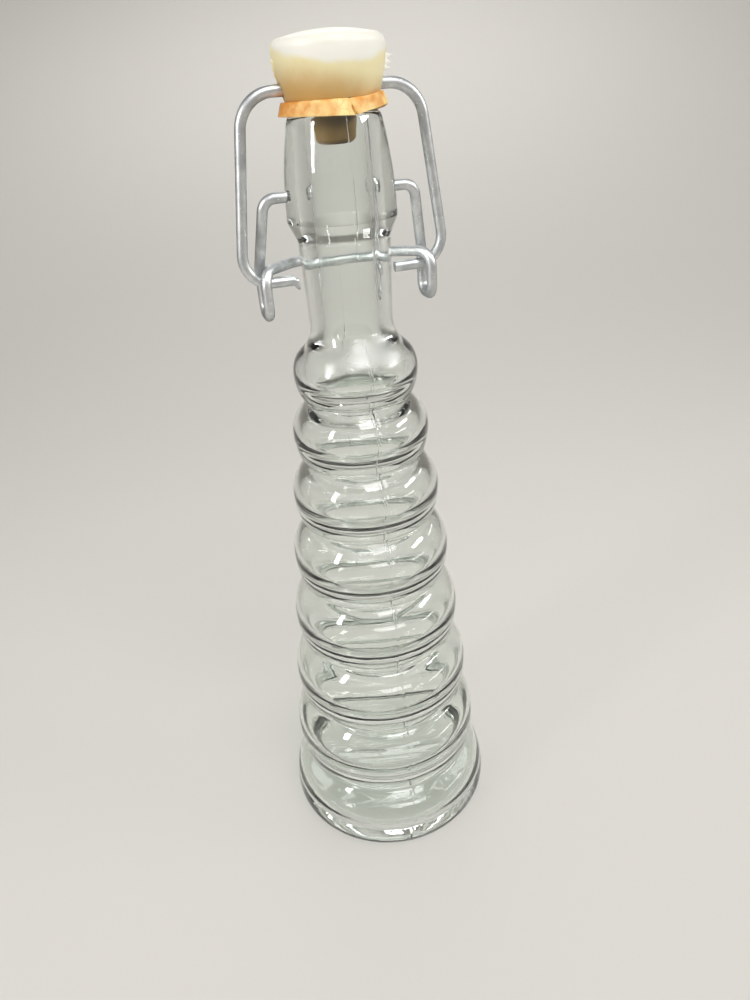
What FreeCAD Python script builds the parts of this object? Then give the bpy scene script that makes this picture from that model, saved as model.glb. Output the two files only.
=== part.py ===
import FreeCAD, Part
import math
import os

# A ringed glass bottle with a swing stopper, closed. Millimetres and degrees, +Z up.
# The origin is at the centre of the foot. X runs along the closure's pivots, the lever's bow lies
# behind the neck at +Y, and the near side is -Y.

# Height of the glass and radius of its foot end
lip_height = 230.0
heel_radius = 35.0

# Foot and heel of the glass
heel_peak_height = 8.0
heel_corner_width = 6.5
heel_wall = 4.0
foot_width = 3.5
push_up = 3.5
floor_outset = 0.5
floor_height = 8.0
floor_edge_height = 6.0
inner_heel_peak_height = 11.5

# Rings of the body, counted upwards from the heel
ring_count = 7
lowest_ring_radius = 31.5
top_ring_radius = 17.9
ring_height_loss = 0.15
groove_depth = 3.2
groove_rounding = 0.6
shoulder_radius = 2.6
flank_angle = 70.0
body_wall = 3.2
groove_wall = 5.0
inner_wave_share = 0.5

# Flare from the top ring to the neck
flare_rise = 5.0
flare_share = 0.5

# Neck and finish
neck_root_radius = 11.5
neck_top_radius = 12.35
neck_length = 32.3
bore_radius = 7.5
rim_radius = 14.5
rim_rounding = 1.5
rim_underside_angle = 65.0
finish_length = 24.3
finish_curve_radius = 105.0
lip_rounding = 1.4
mouth_rounding = 1.2

# Both closure wires, and where the lever turns in the finish
wire_diameter = 2.8
pivot_rise = 6.3
pivot_clearance = 0.08
dimple_depth = 2.4
tip_clearance = 0.3

# Lever
lever_throw = 20.7
lever_reach = 5.7
lever_shoulder_bend = 3.5
leg_splay = 2.7
leg_bend = 6.0
eye_clearance = 1.05
eye_top_clearance = 1.0
eye_drop = 8.2
eye_corner_bend = 2.8
eye_top_bend = 4.0
bow_half_width = 10.5
bow_clearance = 1.85
bow_drop = 1.8
bow_bend = 9.0

# Bail
bail_top_reach = 8.7
bail_top_bend = 9.0
bail_foot_reach = 5.6
bail_foot_bend = 7.0
stub_clearance = 1.25

# Stopper and gasket
gasket_thickness = 3.1
gasket_edge_slope = 1.1
gasket_fit = 0.05
stopper_base_radius = 11.6
stopper_rim_radius = 13.8
stopper_rim_height = 10.9
stopper_crown_height = 14.7
stopper_side_bulge = 0.5
stopper_edge_rounding = 2.4
cross_hole_clearance = 0.1
cross_hole_floor = 1.1
plug_clearance = 1.5
plug_depth = 7.5
plug_taper = 0.75
plug_rounding = 1.6
bead_step = 0.35
bead_gap = 0.3
bead_height = 1.2


# Places that follow from the sizes above
rim_height = lip_height - finish_length
ring_stack_height = rim_height - neck_length
neck_root_height = ring_stack_height + flare_rise
pivot_height = rim_height + pivot_rise
wire_radius = wire_diameter / 2
stub_height = pivot_height - lever_throw
stub_end = neck_top_radius + stub_clearance
lever_shoulder = rim_radius + lever_reach
eye_offset = lever_shoulder + leg_splay
eye_half_width = wire_diameter + eye_clearance
eye_top_height = stub_height + wire_diameter + eye_top_clearance
eye_bottom_height = stub_height - eye_drop
bow_setback = neck_top_radius + wire_radius + bow_clearance
bail_foot_half_width = eye_offset + bail_foot_reach
bail_top_half_width = stopper_rim_radius + bail_top_reach
gasket_radius = stopper_rim_radius
stopper_base_height = lip_height + gasket_thickness
cross_hole_radius = wire_radius + cross_hole_clearance
cross_height = stopper_base_height + cross_hole_floor + cross_hole_radius
bead_radius = bore_radius - plug_clearance
stem_radius = bead_radius - bead_step

UP = FreeCAD.Vector(0, 0, 1)
ALONG_X = FreeCAD.Vector(1, 0, 0)


def at(radius, height):
    """A point of a turned profile."""
    return FreeCAD.Vector(radius, 0, height)


def line(start, end):
    return Part.LineSegment(start, end).toShape()


def arc(centre, start, end):
    """The shorter arc about a centre."""
    radius = (start - centre).Length
    towards_middle = ((start + end) * 0.5 - centre).normalize()
    return Part.Arc(start, centre + towards_middle * radius, end).toShape()


def arc_from_upright(upright, other):
    """An arc that leaves one point upright and ends at another."""
    across = upright.x - other.x
    rise = upright.z - other.z
    radius = (across**2 + rise**2) / (2 * across)
    return arc(at(upright.x - radius, upright.z), upright, other)


def arc_from_axis(on_axis, other):
    """An arc that leaves the axis level and ends at another point."""
    fall = on_axis.z - other.z
    radius = (other.x**2 + fall**2) / (2 * fall)
    return arc(at(0, on_axis.z - radius), on_axis, other)


def turned(edges):
    """The solid of revolution of a closed profile about the upright axis."""
    outline = Part.Wire(Part.__sortEdges__(edges))
    return Part.Face(outline).revolve(FreeCAD.Vector(0, 0, 0), UP, 360)


def ring_half(peak, groove_edge):
    """From a ring's widest point to a groove's edge: a wide belly arc, then a tighter shoulder."""
    flank = math.copysign(math.radians(flank_angle), groove_edge.z - peak.z)
    shoulder_centre = groove_edge - at(math.cos(flank), math.sin(flank)) * shoulder_radius
    depth = peak.x - shoulder_centre.x
    rise = shoulder_centre.z - peak.z
    belly = (depth**2 + rise**2 - shoulder_radius**2) / (2 * (depth - shoulder_radius))
    belly_centre = at(peak.x - belly, peak.z)
    join = belly_centre + (shoulder_centre - belly_centre).normalize() * belly
    return [arc(belly_centre, peak, join), arc(shoulder_centre, join, groove_edge)]


def ringed_wall(peaks, grooves):
    """The rings outside, from the heel's widest point up to the top ring's."""
    flank = math.radians(flank_angle)
    edges = []
    for lower_peak, groove, upper_peak in zip(peaks, grooves, peaks[1:]):
        centre = groove + at(groove_rounding, 0)
        lower_edge = centre + at(-math.cos(flank), -math.sin(flank)) * groove_rounding
        upper_edge = centre + at(-math.cos(flank), math.sin(flank)) * groove_rounding
        edges += ring_half(lower_peak, lower_edge)
        edges.append(arc(centre, lower_edge, upper_edge))
        edges += ring_half(upper_peak, upper_edge)
    return edges


def wave_half(peak, trough, trough_share):
    """From a wave's widest point to its narrowest: two arcs, both upright at their ends."""
    depth = peak.x - trough.x
    rise = trough.z - peak.z
    both_radii = (depth**2 + rise**2) / (2 * depth)
    belly_centre = peak - at(both_radii * (1 - trough_share), 0)
    trough_centre = trough + at(both_radii * trough_share, 0)
    join = belly_centre * trough_share + trough_centre * (1 - trough_share)
    return [arc(belly_centre, peak, join), arc(trough_centre, join, trough)]


def waved_wall(peaks, troughs):
    """The soft waves inside, from the heel's widest point up to the top ring's."""
    edges = []
    for lower_peak, trough, upper_peak in zip(peaks, troughs, peaks[1:]):
        edges += wave_half(lower_peak, trough, inner_wave_share)
        edges += wave_half(upper_peak, trough, inner_wave_share)
    return edges


def finish_edges(neck_root, bore_foot):
    """The neck and the finish outside, over the lip and down the bore."""
    slope = math.radians(rim_underside_angle)
    rim = at(rim_radius, rim_height)
    rim_centre = at(rim_radius - rim_rounding, rim_height)
    rim_start = rim_centre + at(math.sin(slope), -math.cos(slope)) * rim_rounding
    neck_top_height = rim_start.z - (rim_start.x - neck_top_radius) * math.tan(slope)
    neck_top = at(neck_top_radius, neck_top_height)
    finish_centre = at(rim_radius - finish_curve_radius, rim_height)
    lip_rise = lip_height - lip_rounding - rim_height
    lip_reach = math.sqrt((finish_curve_radius - lip_rounding) ** 2 - lip_rise**2)
    lip_centre = finish_centre + at(lip_reach, lip_rise)
    lip_start = lip_centre + (lip_centre - finish_centre).normalize() * lip_rounding
    lip_end = lip_centre + at(0, lip_rounding)
    mouth_start = at(bore_radius + mouth_rounding, lip_height)
    mouth_end = at(bore_radius, lip_height - mouth_rounding)
    mouth_centre = at(bore_radius + mouth_rounding, lip_height - mouth_rounding)
    return [
        line(neck_root, neck_top),
        line(neck_top, rim_start),
        arc(rim_centre, rim_start, rim),
        arc(finish_centre, rim, lip_start),
        arc(lip_centre, lip_start, lip_end),
        line(lip_end, mouth_start),
        arc(mouth_centre, mouth_start, mouth_end),
        line(mouth_end, bore_foot),
    ]


def finish_radius(height):
    """Radius of the curved finish above the rim."""
    rise = height - rim_height
    return rim_radius - finish_curve_radius + math.sqrt(finish_curve_radius**2 - rise**2)


dimple_end = finish_radius(pivot_height) - dimple_depth
lever_tip = dimple_end + tip_clearance


def ring_tops():
    """Heights of the grooves above the heel and above each ring. The rings get shorter upwards."""
    losses = [ring_height_loss * number**2 for number in range(ring_count + 1)]
    heel_height = (ring_stack_height + sum(losses)) / len(losses)
    heights = []
    top = 0
    for loss in losses:
        top += heel_height - loss
        heights.append(top)
    return heights


def glass_bottle():
    tops = ring_tops()
    taper = (lowest_ring_radius - top_ring_radius) / (ring_count - 1)
    radii = [lowest_ring_radius - taper * number for number in range(ring_count)]
    middles = [(low + high) / 2 for low, high in zip(tops, tops[1:])]
    neck_root = at(neck_root_radius, neck_root_height)
    bore_foot = at(bore_radius, neck_root_height)
    outer_grooves = [at(radius - groove_depth, top) for radius, top in zip(radii, tops)]
    inner_grooves = [groove - at(groove_wall, 0) for groove in outer_grooves]
    heel = at(heel_radius, heel_peak_height)
    inner_heel = at(heel_radius - heel_wall, inner_heel_peak_height)
    peaks = [heel] + [at(radius, middle) for radius, middle in zip(radii, middles)]
    inner_peaks = [inner_heel] + [at(radius - body_wall, middle) for radius, middle in zip(radii, middles)]
    foot_outer = at(heel_radius - heel_corner_width, 0)
    foot_inner = foot_outer - at(foot_width, 0)
    floor_edge = at(foot_inner.x + floor_outset, floor_edge_height)
    edges = [
        arc_from_axis(at(0, push_up), foot_inner),
        line(foot_inner, foot_outer),
        arc_from_upright(heel, foot_outer),
        arc_from_axis(at(0, floor_height), floor_edge),
        arc_from_upright(inner_heel, floor_edge),
        line(at(0, push_up), at(0, floor_height)),
    ]
    edges += ringed_wall(peaks, outer_grooves)
    edges += waved_wall(inner_peaks, inner_grooves)
    edges += wave_half(peaks[-1], neck_root, flare_share)
    edges += wave_half(inner_peaks[-1], bore_foot, flare_share)
    edges += finish_edges(neck_root, bore_foot)
    bottle = turned(edges)
    for side in (1, -1):
        start = FreeCAD.Vector(side * dimple_end, 0, pivot_height)
        dimple = Part.makeCylinder(wire_radius + pivot_clearance, rim_radius, start, ALONG_X * side)
        bottle = bottle.cut(dimple)
    return bottle


def bent_wire(route):
    """A round wire along straight runs, with a tangent arc at each inner point of the route.

    The route holds a point and its bend radius; the two ends have no bend.
    """
    points = [point for point, bend in route]
    edges = []
    start = points[0]
    for number in range(1, len(route) - 1):
        corner, bend = route[number]
        back = (points[number - 1] - corner).normalize()
        ahead = (points[number + 1] - corner).normalize()
        half_corner = back.getAngle(ahead) / 2
        reach = bend / math.tan(half_corner)
        centre = corner + (back + ahead).normalize() * (bend / math.sin(half_corner))
        bend_start = corner + back * reach
        bend_end = corner + ahead * reach
        edges += [line(start, bend_start), arc(centre, bend_start, bend_end)]
        start = bend_end
    edges.append(line(start, points[-1]))
    path = Part.Wire(edges)
    circle = Part.makeCircle(wire_radius, points[0], points[1] - points[0])
    return path.makePipeShell([Part.Wire([circle])], True, False), path.Length


def both_sides(half_route):
    """A route together with its mirror image on the other side of the middle plane."""
    mirrored = [(FreeCAD.Vector(-point.x, point.y, point.z), bend) for point, bend in half_route]
    return half_route + mirrored[::-1]


def lever_wire():
    bow_height = eye_top_height - bow_drop
    return bent_wire(
        both_sides(
            [
                (FreeCAD.Vector(lever_tip, 0, pivot_height), 0),
                (FreeCAD.Vector(lever_shoulder, 0, pivot_height), lever_shoulder_bend),
                (FreeCAD.Vector(eye_offset, eye_half_width, eye_top_height), leg_bend),
                (FreeCAD.Vector(eye_offset, eye_half_width, eye_bottom_height), eye_corner_bend),
                (FreeCAD.Vector(eye_offset, -eye_half_width, eye_bottom_height), eye_corner_bend),
                (FreeCAD.Vector(eye_offset, -eye_half_width, eye_top_height), eye_top_bend),
                (FreeCAD.Vector(bow_half_width, bow_setback, bow_height), bow_bend),
            ]
        )
    )


def bail_wire():
    return bent_wire(
        both_sides(
            [
                (FreeCAD.Vector(stub_end, 0, stub_height), 0),
                (FreeCAD.Vector(bail_foot_half_width, 0, stub_height), bail_foot_bend),
                (FreeCAD.Vector(bail_top_half_width, 0, cross_height), bail_top_bend),
            ]
        )
    )


def stopper():
    rim = at(stopper_rim_radius, stopper_base_height + stopper_rim_height)
    crown = at(0, stopper_base_height + stopper_crown_height)
    edge_end = at(stopper_rim_radius - stopper_edge_rounding, rim.z + stopper_edge_rounding)
    edge_centre = at(stopper_rim_radius - stopper_edge_rounding, rim.z)
    base = at(stopper_base_radius, stopper_base_height)
    side_middle = (rim + base) * 0.5 + at(stopper_side_bulge, 0)
    stem_top = at(stem_radius, stopper_base_height)
    stem_foot = at(stem_radius, lip_height - bead_gap)
    bead_top = at(bead_radius, lip_height - bead_gap)
    bead_foot = at(bead_radius, lip_height - bead_gap - bead_height)
    tip_height = lip_height - plug_depth
    tip_side = at(bead_radius - plug_taper, tip_height + plug_rounding)
    tip_centre = tip_side - at(plug_rounding, 0)
    tip_end = tip_centre - at(0, plug_rounding)
    cap = turned(
        [
            arc_from_axis(crown, edge_end),
            arc(edge_centre, edge_end, rim),
            Part.Arc(rim, side_middle, base).toShape(),
            line(base, stem_top),
            line(stem_top, stem_foot),
            line(stem_foot, bead_top),
            line(bead_top, bead_foot),
            line(bead_foot, tip_side),
            arc(tip_centre, tip_side, tip_end),
            line(tip_end, at(0, tip_height)),
            line(at(0, tip_height), crown),
        ]
    )
    hole_start = FreeCAD.Vector(-stopper_rim_radius, 0, cross_height)
    hole = Part.makeCylinder(cross_hole_radius, 2 * stopper_rim_radius, hole_start, ALONG_X)
    return cap.cut(hole)


def gasket():
    hole_radius = stem_radius + gasket_fit
    corners = [
        at(hole_radius, lip_height),
        at(gasket_radius, lip_height),
        at(gasket_radius - gasket_edge_slope, stopper_base_height),
        at(hole_radius, stopper_base_height),
    ]
    return turned([line(start, end) for start, end in zip(corners, corners[1:] + corners[:1])])


def main():
    os.makedirs("parts", exist_ok=True)
    lever, lever_length = lever_wire()
    bail, bail_length = bail_wire()
    wire_area = math.pi * wire_radius**2
    for name, wire, length in (("lever_wire", lever, lever_length), ("bail_wire", bail, bail_length)):
        ratio = wire.Volume / (wire_area * length)
        print(name, "length", round(length, 2), "volume ratio", round(ratio, 5))
    nodes = {
        "glass_bottle": glass_bottle(),
        "lever_wire": lever,
        "bail_wire": bail,
        "stopper": stopper(),
        "gasket": gasket(),
    }
    for name, shape in nodes.items():
        print(name, shape.ShapeType, len(shape.Solids), shape.isValid(), round(shape.Volume, 1))
        shape.exportStep(f"parts/{name}.step")


main()
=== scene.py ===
# A swing top bottle, closed: clear ringed glass, a lever and a bail of zinc-plated wire, a cream
# plastic stopper and an orange rubber ring. Sizes are in millimetres until a mesh is made.

import math

import bpy
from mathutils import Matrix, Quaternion, Vector


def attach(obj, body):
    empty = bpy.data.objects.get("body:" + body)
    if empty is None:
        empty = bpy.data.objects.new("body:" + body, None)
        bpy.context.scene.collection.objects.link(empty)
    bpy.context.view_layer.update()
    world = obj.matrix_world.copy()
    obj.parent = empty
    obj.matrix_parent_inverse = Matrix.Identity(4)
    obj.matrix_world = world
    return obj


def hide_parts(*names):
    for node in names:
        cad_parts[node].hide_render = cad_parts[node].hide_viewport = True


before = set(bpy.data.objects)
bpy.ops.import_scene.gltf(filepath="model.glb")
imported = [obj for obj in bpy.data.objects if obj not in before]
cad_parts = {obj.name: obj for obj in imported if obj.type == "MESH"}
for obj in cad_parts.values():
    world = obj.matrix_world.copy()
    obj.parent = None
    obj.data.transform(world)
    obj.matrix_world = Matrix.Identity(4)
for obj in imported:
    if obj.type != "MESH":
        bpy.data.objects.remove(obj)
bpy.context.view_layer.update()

MM = 0.001

# Foot and heel of the glass
HEEL_RADIUS = 35.0
HEEL_PEAK_HEIGHT = 8.0
HEEL_CORNER_WIDTH = 6.5
HEEL_WALL = 4.0
FOOT_WIDTH = 3.5
PUSH_UP = 3.5
FLOOR_OUTSET = 0.5
FLOOR_HEIGHT = 8.0
FLOOR_EDGE_HEIGHT = 6.0
INNER_HEEL_PEAK_HEIGHT = 11.5

# Rings of the glass, counted upwards from the heel
RING_COUNT = 7
LOWEST_RING_RADIUS = 31.5
TOP_RING_RADIUS = 17.9
RING_HEIGHT_LOSS = 0.15
GROOVE_DEPTH = 3.2
GROOVE_ROUNDING = 0.6
SHOULDER_RADIUS = 2.6
FLANK_ANGLE = 70.0
BODY_WALL = 3.2
GROOVE_WALL = 5.0
INNER_WAVE_SHARE = 0.5

# Flare from the top ring to the neck
FLARE_RISE = 5.0
FLARE_SHARE = 0.5

# Neck and finish
LIP_HEIGHT = 230.0
NECK_LENGTH = 32.3
FINISH_LENGTH = 24.3
NECK_ROOT_RADIUS = 11.5
NECK_TOP_RADIUS = 12.35
BORE_RADIUS = 7.5
RIM_RADIUS = 14.5
RIM_ROUNDING = 1.5
RIM_UNDERSIDE_ANGLE = 65.0
FINISH_CURVE_RADIUS = 105.0
LIP_ROUNDING = 1.4
MOUTH_ROUNDING = 1.2
DIMPLE_RADIUS = 1.48
DIMPLE_END = 11.91
PIVOT_HEIGHT = 212.0

# Marks of the mould on the glass: soft edges, and seams with nubs at the grooves
GLASS_EDGE_WIDTH = 0.7
SEAM_HALF_WIDTH = 0.01
SEAM_HEIGHT = 0.09
SEAM_START_RADIUS = 9.0
SEAM_FOOT = 1.5
NUB_HEIGHT = 0.3
NUB_FLAT = 0.6
NUB_REACH = 1.8

# Lumps of the glass: how far they stand out, how far apart they are, and the heights they fill
WALL_LUMPS, WALL_LUMP_SPACING = 0.8, 12
WALL_LUMP_RISE = (6, 16)
BORE_LUMPS, BORE_LUMP_SPACING = 0.25, 9
BORE_LUMP_RADIUS = 8.0
BORE_LUMP_FOOT = 182.0
BORE_LUMP_TOP = 226.0
FLOOR_LUMPS, FLOOR_LUMP_SPACING = 1.6, 8
FLOOR_LUMP_FALL = (7, 13)
OUTER_LUMPS, OUTER_LUMP_SPACING = 0.15, 16
OUTER_LUMP_FOOT = 12.0
OUTER_LUMP_TOP = 176.0

# Stopper
CROWN_HEIGHT = 247.8
STOPPER_RIM_HEIGHT = 244.0
STOPPER_RIM_RADIUS = 13.8
STOPPER_BASE_HEIGHT = 233.1
STOPPER_BASE_RADIUS = 11.6
STOPPER_SIDE_BULGE = 0.5
STOPPER_EDGE_ROUNDING = 2.4
STEM_RADIUS = 5.65
BEAD_RADIUS = 6.0
BEAD_TOP_HEIGHT = 229.7
BEAD_FOOT_HEIGHT = 228.5
PLUG_TIP_HEIGHT = 222.5
PLUG_TIP_RADIUS = 5.25
PLUG_ROUNDING = 1.6
CROSS_HEIGHT = 235.7
CROSS_HOLE_RADIUS = 1.5

# The stopper's parting line, and the flash that is torn into teeth on it
PARTING_RIDGE = 0.08
PARTING_HALF_WIDTH = 0.02
PARTING_FOOT = 0.2
FLASH_INNER_RADIUS = 10.0
FLASH_HEIGHT = 240.2
FLASH_FLAT = 1.5
FLASH_REACH = 2.3
FLASH_WIDTH = 0.2
FIRST_TOOTH_START = 238.4
TOOTH_SPACING = 1.4
TOOTH_WAVE = 0.28
RIGHT_FLASH = 2.2
LEFT_FLASH = 0.45

# Rubber ring
RUBBER_HOLE_RADIUS = 5.7
RUBBER_RADIUS = 13.8
RUBBER_TOP_RADIUS = 12.7
RUBBER_EDGE_ROUNDING = 0.35

# Wear of the rubber ring: a crack at a fold, an edge that droops and an end that lifts
RUBBER_FRONT = -105.0
RUBBER_FOLD = 0.41
RUBBER_LUMPS, RUBBER_LUMP_SPACING = 0.12, 4
BACK_FADE = (-0.6, 0.0)
FREE_EDGE_START = 11.5
FREE_EDGE_WIDTH = 1.1
CRACK_DEPTH = 1.1
CRACK_LEAN = 2.5
CRACK_FLAT = 0.5
CRACK_HALF_ANGLE = 1.8
DIP_DEPTH = 1.1
DIP_HALF_ANGLE = 7
DROOP = 0.75
LIFT = 1.1
LIFT_START = 0.4

# Wire, and the ends of the bail's stubs, of which the left one is sheared and hooked
WIRE_RADIUS = 1.4
WIRE_EDGE_WIDTH = 0.2
STUB_END = 13.6
STUB_HEIGHT = 191.3
STUB_MARGIN = 0.1
HOOK_SETBACKS = (0.5, 0.9, 1.3)
HOOK_FLAT = 0.3
HOOK_DROP = 1.2
HOOK_REACH = 0.3
BURR_TOP = 0.4
SHEAR_DROP = 0.7
SHEAR_SETBACK = 0.3
SHEAR_FOOT = 0.6

RIM_HEIGHT = LIP_HEIGHT - FINISH_LENGTH
RING_STACK_HEIGHT = RIM_HEIGHT - NECK_LENGTH
NECK_ROOT_HEIGHT = RING_STACK_HEIGHT + FLARE_RISE

# How finely lines and arcs are divided, and how far apart doubles are at most
ARC_STEP_ANGLE = math.radians(12)
PROFILE_STEP = 2.2
STOPPER_STEP = 0.35
RUBBER_STEP = 0.8
DOUBLES_APART = 0.001

# How finely turned pieces are divided: short steps within a small turn of a seam, longer elsewhere
SEAM_TURN = 1.5
GLASS_SEAM_STEPS = 4
GLASS_HALF_STEPS = 62
STOPPER_SEAM_STEPS = 6
STOPPER_HALF_STEPS = 60
RUBBER_STEPS = 480

# Drilled holes
HOLE_SIDES = 48
DRILL_OVERRUN = 2.0


def at(radius, height):
    """A point of a turned profile."""
    return Vector((radius, height))


def along_line(start, end, step_length=PROFILE_STEP):
    """Points along a line, without its start."""
    steps = math.ceil((end - start).length / step_length)
    return [start.lerp(end, step / steps) for step in range(1, steps + 1)]


def along_arc(centre, start, end, step_length=PROFILE_STEP):
    """Points along the shorter arc about a centre, without its start."""
    radius = (start - centre).length
    first = math.atan2(start.y - centre.y, start.x - centre.x)
    turn = math.atan2(end.y - centre.y, end.x - centre.x) - first
    turn = (turn + math.pi) % math.tau - math.pi
    steps = max(math.ceil(abs(turn) / ARC_STEP_ANGLE), math.ceil(abs(turn) * radius / step_length))
    angles = [first + turn * step / steps for step in range(1, steps + 1)]
    return [centre + at(math.cos(angle), math.sin(angle)) * radius for angle in angles]


def upright_arc_centre(upright, other):
    """Centre of the arc that passes one point upright and ends at another."""
    across = upright.x - other.x
    rise = upright.y - other.y
    return at(upright.x - (across**2 + rise**2) / (2 * across), upright.y)


def level_arc_centre(on_axis, other):
    """Centre of the arc that crosses the axis level and ends at another point."""
    fall = on_axis.y - other.y
    return at(0, on_axis.y - (other.x**2 + fall**2) / (2 * fall))


def ring_half(peak, groove_edge):
    """Points from a ring's widest point to a groove's edge: a wide belly, then a tight shoulder."""
    flank = math.copysign(math.radians(FLANK_ANGLE), groove_edge.y - peak.y)
    shoulder_centre = groove_edge - at(math.cos(flank), math.sin(flank)) * SHOULDER_RADIUS
    depth = peak.x - shoulder_centre.x
    rise = shoulder_centre.y - peak.y
    belly = (depth**2 + rise**2 - SHOULDER_RADIUS**2) / (2 * (depth - SHOULDER_RADIUS))
    belly_centre = at(peak.x - belly, peak.y)
    join = belly_centre + (shoulder_centre - belly_centre).normalized() * belly
    return along_arc(belly_centre, peak, join) + along_arc(shoulder_centre, join, groove_edge)


def wave_half(peak, trough, trough_share):
    """Points from a wave's widest point to its narrowest: two arcs, both upright at their ends."""
    depth = peak.x - trough.x
    rise = trough.y - peak.y
    both_radii = (depth**2 + rise**2) / (2 * depth)
    belly_centre = peak - at(both_radii * (1 - trough_share), 0)
    trough_centre = trough + at(both_radii * trough_share, 0)
    join = belly_centre.lerp(trough_centre, 1 - trough_share)
    return along_arc(belly_centre, peak, join) + along_arc(trough_centre, join, trough)


def ringed_wall(peaks, grooves):
    """Points up the rings outside, from the heel's widest point to the top ring's."""
    flank = math.radians(FLANK_ANGLE)
    chain = [peaks[0]]
    for lower_peak, groove, upper_peak in zip(peaks, grooves, peaks[1:]):
        centre = groove + at(GROOVE_ROUNDING, 0)
        lower_edge = centre + at(-math.cos(flank), -math.sin(flank)) * GROOVE_ROUNDING
        upper_edge = centre + at(-math.cos(flank), math.sin(flank)) * GROOVE_ROUNDING
        chain += ring_half(lower_peak, lower_edge)
        chain += along_arc(centre, lower_edge, upper_edge)
        chain += ring_half(upper_peak, upper_edge)[-2::-1] + [upper_peak]
    return chain


def waved_wall(peaks, troughs):
    """Points up the soft waves inside, from the heel's widest point to the top ring's."""
    chain = [peaks[0]]
    for lower_peak, trough, upper_peak in zip(peaks, troughs, peaks[1:]):
        chain += wave_half(lower_peak, trough, INNER_WAVE_SHARE)
        chain += wave_half(upper_peak, trough, INNER_WAVE_SHARE)[-2::-1] + [upper_peak]
    return chain


def ring_tops():
    """Heights of the grooves above the heel and above each ring."""
    losses = [RING_HEIGHT_LOSS * number**2 for number in range(RING_COUNT + 1)]
    heel_height = (RING_STACK_HEIGHT + sum(losses)) / len(losses)
    heights = []
    top = 0
    for loss in losses:
        top += heel_height - loss
        heights.append(top)
    return heights


def finish_chain(neck_root, bore_foot):
    """Points up the neck and the finish, over the lip and down the bore."""
    slope = math.radians(RIM_UNDERSIDE_ANGLE)
    rim = at(RIM_RADIUS, RIM_HEIGHT)
    rim_centre = at(RIM_RADIUS - RIM_ROUNDING, RIM_HEIGHT)
    rim_start = rim_centre + at(math.sin(slope), -math.cos(slope)) * RIM_ROUNDING
    neck_top = at(NECK_TOP_RADIUS, rim_start.y - (rim_start.x - NECK_TOP_RADIUS) * math.tan(slope))
    finish_centre = at(RIM_RADIUS - FINISH_CURVE_RADIUS, RIM_HEIGHT)
    lip_rise = LIP_HEIGHT - LIP_ROUNDING - RIM_HEIGHT
    lip_reach = math.sqrt((FINISH_CURVE_RADIUS - LIP_ROUNDING) ** 2 - lip_rise**2)
    lip_centre = finish_centre + at(lip_reach, lip_rise)
    lip_start = lip_centre + (lip_centre - finish_centre).normalized() * LIP_ROUNDING
    lip_end = lip_centre + at(0, LIP_ROUNDING)
    mouth_start = at(BORE_RADIUS + MOUTH_ROUNDING, LIP_HEIGHT)
    mouth_end = at(BORE_RADIUS, LIP_HEIGHT - MOUTH_ROUNDING)
    mouth_centre = at(BORE_RADIUS + MOUTH_ROUNDING, LIP_HEIGHT - MOUTH_ROUNDING)
    outside = along_line(neck_root, neck_top)
    outside += along_line(neck_top, rim_start)
    outside += along_arc(rim_centre, rim_start, rim)
    outside += along_arc(finish_centre, rim, lip_start)
    outside += along_arc(lip_centre, lip_start, lip_end)
    inside = along_line(lip_end, mouth_start)
    inside += along_arc(mouth_centre, mouth_start, mouth_end)
    inside += along_line(mouth_end, bore_foot)
    return outside, inside


def glass_chains():
    """The glass profile: outside from the middle of the foot to the lip, inside to the floor."""
    tops = ring_tops()
    taper = (LOWEST_RING_RADIUS - TOP_RING_RADIUS) / (RING_COUNT - 1)
    radii = [LOWEST_RING_RADIUS - taper * number for number in range(RING_COUNT)]
    middles = [(low + high) / 2 for low, high in zip(tops, tops[1:])]
    neck_root = at(NECK_ROOT_RADIUS, NECK_ROOT_HEIGHT)
    bore_foot = at(BORE_RADIUS, NECK_ROOT_HEIGHT)
    outer_grooves = [at(radius - GROOVE_DEPTH, top) for radius, top in zip(radii, tops)]
    inner_grooves = [groove - at(GROOVE_WALL, 0) for groove in outer_grooves]
    heel = at(HEEL_RADIUS, HEEL_PEAK_HEIGHT)
    inner_heel = at(HEEL_RADIUS - HEEL_WALL, INNER_HEEL_PEAK_HEIGHT)
    rings = list(zip(radii, middles))
    peaks = [heel] + [at(radius, middle) for radius, middle in rings]
    inner_peaks = [inner_heel] + [at(radius - BODY_WALL, middle) for radius, middle in rings]
    foot_centre = at(0, PUSH_UP)
    foot_outer = at(HEEL_RADIUS - HEEL_CORNER_WIDTH, 0)
    foot_inner = foot_outer - at(FOOT_WIDTH, 0)
    floor_centre = at(0, FLOOR_HEIGHT)
    floor_edge = at(foot_inner.x + FLOOR_OUTSET, FLOOR_EDGE_HEIGHT)
    outside = [foot_centre]
    outside += along_arc(level_arc_centre(foot_centre, foot_inner), foot_centre, foot_inner)
    outside += along_line(foot_inner, foot_outer)
    outside += along_arc(upright_arc_centre(heel, foot_outer), foot_outer, heel)
    outside += ringed_wall(peaks, outer_grooves)[1:]
    outside += wave_half(peaks[-1], neck_root, FLARE_SHARE)
    finish, inside = finish_chain(neck_root, bore_foot)
    outside += finish
    inner_wall = waved_wall(inner_peaks, inner_grooves)
    inner_wall += wave_half(inner_peaks[-1], bore_foot, FLARE_SHARE)
    inside += inner_wall[-2::-1]
    inside += along_arc(upright_arc_centre(inner_heel, floor_edge), inner_heel, floor_edge)
    inside += along_arc(level_arc_centre(floor_centre, floor_edge), floor_edge, floor_centre)
    return outside, inside


# Modelling steps that the pieces share


def take(piece):
    """Makes a piece the active object and the only selected one."""
    bpy.ops.object.select_all(action="DESELECT")
    piece.select_set(True)
    bpy.context.view_layer.objects.active = piece


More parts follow.
